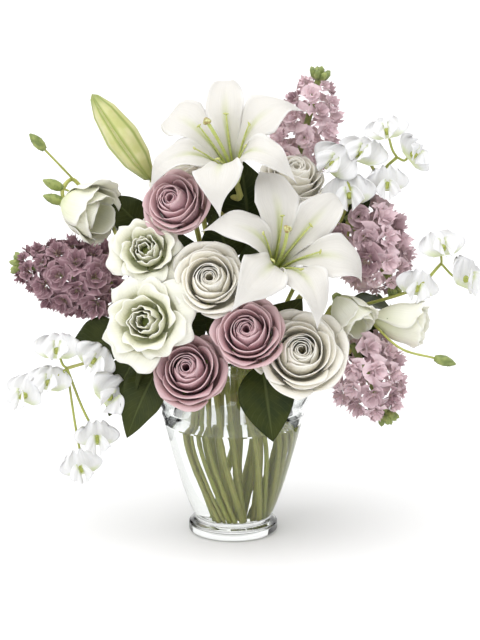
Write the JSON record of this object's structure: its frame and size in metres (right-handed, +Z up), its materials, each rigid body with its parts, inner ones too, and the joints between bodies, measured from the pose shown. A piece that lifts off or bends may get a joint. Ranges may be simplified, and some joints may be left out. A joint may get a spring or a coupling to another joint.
{
  "type": "lilies and mixed flowers in a glass vase",
  "caption": "Hand-tied style arrangement of white lilies, roses, lisianthus, stock, sweet peas and leaves, standing in a clear footed glass vase with water.",
  "frame": {"origin": "centre of the vase's foot, on its flat underside", "axes": "+Z up along the vase's axis, -Y towards the front of the arrangement, +X to the right as seen from the front"},
  "size_m": [0.4211, 0.2775, 0.4341],
  "materials": {
    "vase_glass": "clear polished glass",
    "vase_water": "clear still water",
    "lily_petal": "smooth waxy petal",
    "lily_stamens": "satin",
    "lily_bud_skin": "satin",
    "pink_rose_petal": "soft matte petal",
    "cream_rose_petal": "soft matte petal",
    "lisianthus_petal": "soft matte petal",
    "stock_petal": "soft matte petal",
    "sweet_pea_petal": "soft matte petal",
    "stem_green": "satin green stem",
    "leaf_green": "glossy leaf"
  },
  "bodies": {
    "root": {"back_leaf_spray": "leaf_green", "front_leaf_spray": "leaf_green", "front_lily_stamens": "lily_stamens", "front_lily_stem": "stem_green", "front_lily_tepal_1": "lily_petal", "front_lily_tepal_2": "lily_petal", "front_lily_tepal_3": "lily_petal", "front_lily_tepal_4": "lily_petal", "front_lily_tepal_5": "lily_petal", "front_lily_tepal_6": "lily_petal", "glass_vase": "vase_glass", "left_leaf_spray": "leaf_green", "left_stock_spike": "stock_petal", "left_stock_stem": "stem_green", "left_sweet_pea": "sweet_pea_petal", "lily_bud": "lily_bud_skin", "lisianthus_1_bloom": "lisianthus_petal", "lisianthus_1_stem": "stem_green", "lisianthus_2_bloom": "lisianthus_petal", "lisianthus_2_stem": "stem_green", "lisianthus_3_bloom": "lisianthus_petal", "lisianthus_3_stem": "stem_green", "lisianthus_4_bloom": "lisianthus_petal", "lisianthus_4_stem": "stem_green", "lisianthus_5_bloom": "lisianthus_petal", "low_stock_spike": "stock_petal", "low_stock_stem": "stem_green", "pink_rose_1_bloom": "pink_rose_petal", "pink_rose_1_stem": "stem_green", "pink_rose_2_bloom": "pink_rose_petal", "pink_rose_2_stem": "stem_green", "pink_rose_3_bloom": "pink_rose_petal", "pink_rose_3_stem": "stem_green", "right_leaf_spray": "leaf_green", "right_stock_spike": "stock_petal", "right_stock_stem": "stem_green", "right_sweet_pea": "sweet_pea_petal", "top_stock_spike": "stock_petal", "top_stock_stem": "stem_green", "upper_leaf_spray": "leaf_green", "upper_left_leaf_spray": "leaf_green", "upper_lily_stamens": "lily_stamens", "upper_lily_stem": "stem_green", "upper_lily_tepal_1": "lily_petal", "upper_lily_tepal_2": "lily_petal", "upper_lily_tepal_3": "lily_petal", "upper_lily_tepal_4": "lily_petal", "upper_lily_tepal_5": "lily_petal", "upper_lily_tepal_6": "lily_petal", "upper_right_leaf_spray": "leaf_green", "upper_sweet_pea": "sweet_pea_petal", "water": "vase_water", "white_rose_1_bloom": "cream_rose_petal", "white_rose_1_stem": "stem_green", "white_rose_2_bloom": "cream_rose_petal", "white_rose_2_stem": "stem_green", "white_rose_3_bloom": "cream_rose_petal", "white_rose_3_stem": "stem_green", "white_rose_4_bloom": "cream_rose_petal", "white_rose_4_stem": "stem_green"}
  },
  "joints": []
}
